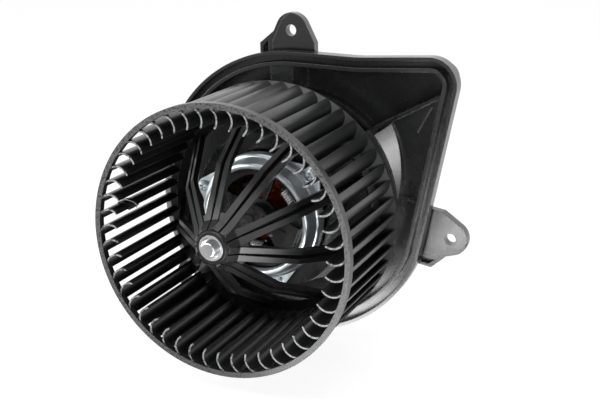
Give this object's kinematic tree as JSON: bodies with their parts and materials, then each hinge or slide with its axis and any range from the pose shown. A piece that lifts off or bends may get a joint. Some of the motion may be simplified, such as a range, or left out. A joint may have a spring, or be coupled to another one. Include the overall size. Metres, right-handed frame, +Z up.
{
  "type": "heater blower with wheel and motor",
  "caption": "Heater blower: squirrel-cage wheel on a two-brush motor, held by a tabbed ring in a scroll half-shell with mounting ears.",
  "frame": {"origin": "on the shaft axis, in the front plane of the housing rim", "axes": "+Y along the shaft to the back of the motor, so the air inlet faces -Y; +Z up, towards the top ear; +X right as seen from the inlet"},
  "size_m": [0.1915, 0.136, 0.1912],
  "materials": {
    "moulded_black": "moulded black plastic, satin gloss",
    "wheel_black": "moulded black plastic, satin gloss",
    "zinc_plate": "bright zinc plating",
    "bright_steel": "turned bright steel",
    "drawn_steel": "drawn steel, light oil",
    "copper": "bare copper",
    "enamelled_copper": "enamelled copper wire",
    "laminated_steel": "stacked laminations",
    "phenolic": "brown moulding compound",
    "fibre": "fibre washer",
    "sintered_bronze": "sintered bronze, oil filled",
    "ferrite": "sintered ferrite, ground",
    "spring_steel": "spring steel",
    "rubber": "moulded rubber",
    "brass": "drawn brass",
    "carbon": "pressed carbon",
    "capacitor_case": "dipped resin",
    "plug_black": "moulded black plastic, matt",
    "tinned_copper": "tinned copper",
    "red_wire": "red wire insulation",
    "dark_wire": "black wire insulation"
  },
  "bodies": {
    "housing_and_motor": {"scroll_housing": "moulded_black", "motor_can": "drawn_steel", "front_bearing": "sintered_bronze", "rear_bearing": "sintered_bronze", "front_bearing_retainer": "spring_steel", "rear_bearing_retainer": "spring_steel", "field_magnet_right": "ferrite", "field_magnet_left": "ferrite", "magnet_clips": "spring_steel", "motor_mounting_ring": "zinc_plate", "mounting_screws": "zinc_plate", "vibration_grommets": "rubber", "brush_plate": "moulded_black", "brush_guide_right": "brass", "brush_guide_left": "brass", "brush_spring_right": "spring_steel", "brush_spring_left": "spring_steel", "choke_cores": "ferrite", "choke_coils": "tinned_copper", "suppression_capacitor": "capacitor_case", "motor_rear_cover": "moulded_black", "cover_screws": "zinc_plate", "lead_grommet": "rubber", "positive_lead": "red_wire", "negative_lead": "dark_wire", "connector_body": "plug_black", "connector_terminals": "tinned_copper"},
    "rotor": {"blower_wheel": "wheel_black", "hub_collar": "bright_steel", "balance_clip": "spring_steel", "motor_shaft": "bright_steel", "armature_core": "laminated_steel", "armature_windings": "enamelled_copper", "commutator_hub": "phenolic", "commutator_segments": "copper", "thrust_washers": "fibre"},
    "right_brush": {"carbon_brush_right": "carbon"},
    "left_brush": {"carbon_brush_left": "carbon"}
  },
  "joints": [
    {"name": "rotor_spin", "type": "hinge", "parent": "housing_and_motor", "child": "rotor", "pos_m": [0, 0, 0], "axis": [0, -1, 0], "continuous": true},
    {"name": "right_brush_slide", "type": "slide", "parent": "housing_and_motor", "child": "right_brush", "axis": [0.9397, 0, -0.342], "range_m": [0, 0.004], "stiffness_N_per_m": 250, "springref_m": -0.006, "deforming": ["brush_spring_right"]},
    {"name": "left_brush_slide", "type": "slide", "parent": "housing_and_motor", "child": "left_brush", "axis": [-0.9397, 0, 0.342], "range_m": [0, 0.004], "stiffness_N_per_m": 250, "springref_m": -0.006, "deforming": ["brush_spring_left"]}
  ]
}
